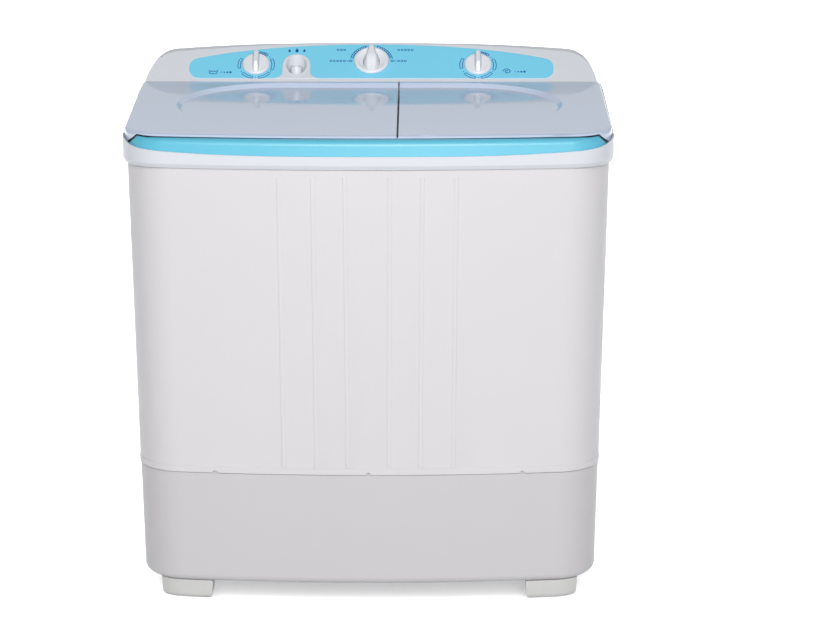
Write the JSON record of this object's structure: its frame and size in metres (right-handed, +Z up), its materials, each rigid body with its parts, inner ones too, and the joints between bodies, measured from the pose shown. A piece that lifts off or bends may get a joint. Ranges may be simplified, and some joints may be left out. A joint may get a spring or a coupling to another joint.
{
  "type": "twin tub washing machine",
  "caption": "Free-standing twin tub washer: pulsator wash tub and spin basket side by side under hinged lids, with a sloped rear console of rotary controls.",
  "frame": {"origin": "on the floor, at the centre of the machine's bounding box", "axes": "+Z up; the front faces -Y; +X to the right seen from the front"},
  "size_m": [0.75, 0.44, 0.8284],
  "materials": {
    "white_abs": "semi-gloss moulded",
    "cabinet_white": "semi-gloss moulded",
    "base_grey": "semi-gloss moulded",
    "foot_grey": "satin moulded",
    "lid_lavender": "high gloss",
    "trim_blue": "gloss",
    "fascia_blue": "printed film, gloss",
    "knob_white": "semi-gloss",
    "tub_white": "semi-gloss polypropylene",
    "pulsator_blue": "semi-gloss",
    "basket_grey": "semi-gloss",
    "steel": "bright",
    "zinc": "zinc plated",
    "motor_steel": "painted",
    "cast_aluminium": "cast",
    "black_rubber": "matt",
    "grey_hose": "satin",
    "black_plastic": "satin",
    "switch_black": "satin",
    "can_aluminium": "satin"
  },
  "bodies": {
    "machine": {"feet": "foot_grey", "base": "base_grey", "base_rear": "base_grey", "base_flange": "base_grey", "base_pan": "base_grey", "hose_recess": "base_grey", "cabinet": "cabinet_white", "rear_panel": "zinc", "panel_screws": "steel", "top_frame": "white_abs", "front_trim": "trim_blue", "console_housing": "white_abs", "console_fascia": "fascia_blue", "inlet_cup": "white_abs", "wash_timer_box": "switch_black", "mode_switch": "switch_black", "spin_timer_box": "switch_black", "wash_tub": "tub_white", "lint_filter": "pulsator_blue", "bearing_housing": "cast_aluminium", "drive_belt": "black_rubber", "motor_bracket": "zinc", "wash_motor": "motor_steel", "spin_tub": "tub_white", "spin_seal": "black_rubber", "spin_motor": "motor_steel", "motor_mounts": "black_rubber", "brake_bracket": "zinc", "drain_valve_body": "tub_white", "drain_outlet": "black_plastic", "drain_hose": "grey_hose", "spin_drain_hose": "grey_hose", "cord_gland": "black_plastic", "capacitors": "can_aluminium", "wiring_loom": "black_plastic"},
    "wash_lid": {"wash_lid": "lid_lavender", "wash_lid_pins": "steel"},
    "spin_lid": {"spin_lid": "lid_lavender", "spin_lid_pins": "steel"},
    "wash_timer": {"wash_timer_knob": "knob_white", "wash_timer_shaft": "steel"},
    "mode_selector": {"mode_knob": "knob_white", "mode_shaft": "steel"},
    "spin_timer": {"spin_timer_knob": "knob_white", "spin_timer_shaft": "steel"},
    "pulsator": {"pulsator": "pulsator_blue", "pulsator_screw": "steel", "pulsator_shaft": "steel", "large_pulley": "cast_aluminium"},
    "wash_motor_rotor": {"motor_shaft": "steel", "motor_pulley": "cast_aluminium"},
    "spin_basket": {"spin_basket": "basket_grey", "balance_ring": "basket_grey", "spin_shaft": "steel", "brake_drum": "cast_aluminium"},
    "press_plate": {"press_plate": "pulsator_blue"},
    "brake_lever": {"brake_lever": "zinc", "brake_pad": "black_rubber"},
    "drain_plunger": {"drain_plunger": "black_rubber", "drain_strap": "black_plastic"}
  },
  "joints": [
    {"name": "wash_lid_hinge", "type": "hinge", "parent": "machine", "child": "wash_lid", "pos_m": [-0.33, 0.11493, 0.75529], "axis": [-1, 0, 0], "range_deg": [0, 98]},
    {"name": "spin_lid_hinge", "type": "hinge", "parent": "machine", "child": "spin_lid", "pos_m": [0.33, 0.11493, 0.75529], "axis": [-1, 0, 0], "range_deg": [0, 98]},
    {"name": "wash_timer_turn", "type": "hinge", "parent": "machine", "child": "wash_timer", "pos_m": [-0.1869, 0.15936, 0.79315], "axis": [0, -0.6293, 0.7771], "range_deg": [-330, 0]},
    {"name": "mode_select", "type": "hinge", "parent": "machine", "child": "mode_selector", "pos_m": [0, 0.16573, 0.79831], "axis": [0, -0.6293, 0.7771], "range_deg": [-60, 60]},
    {"name": "spin_timer_turn", "type": "hinge", "parent": "machine", "child": "spin_timer", "pos_m": [0.1728, 0.15936, 0.79315], "axis": [0, -0.6293, 0.7771], "range_deg": [-330, 0]},
    {"name": "pulsator_spin", "type": "hinge", "parent": "machine", "child": "pulsator", "pos_m": [-0.154, -0.007, 0.346], "axis": [0, 0, 1], "continuous": true},
    {"name": "wash_motor_spin", "type": "hinge", "parent": "machine", "child": "wash_motor_rotor", "pos_m": [-0.028, 0.062, 0.185], "axis": [0, 0, 1], "continuous": true},
    {"name": "basket_spin", "type": "hinge", "parent": "machine", "child": "spin_basket", "pos_m": [0.205, -0.01, 0.352], "axis": [0, 0, 1], "continuous": true},
    {"name": "press_plate_lift", "type": "slide", "parent": "spin_basket", "child": "press_plate", "axis": [0, 0, 1], "range_m": [0, 0.26]},
    {"name": "brake_swing", "type": "hinge", "parent": "machine", "child": "brake_lever", "pos_m": [0.275, 0.03, 0.22], "axis": [0, 0, 1], "range_deg": [0, 7]},
    {"name": "drain_lift", "type": "slide", "parent": "machine", "child": "drain_plunger", "axis": [0, 0, 1], "range_m": [0, 0.02]}
  ],
  "couplings": [
    {"joint": "wash_motor_spin", "follows": "pulsator_spin", "ratio": 4.5},
    {"joint": "brake_swing", "follows": "spin_lid_hinge", "ratio": 0.07}
  ]
}
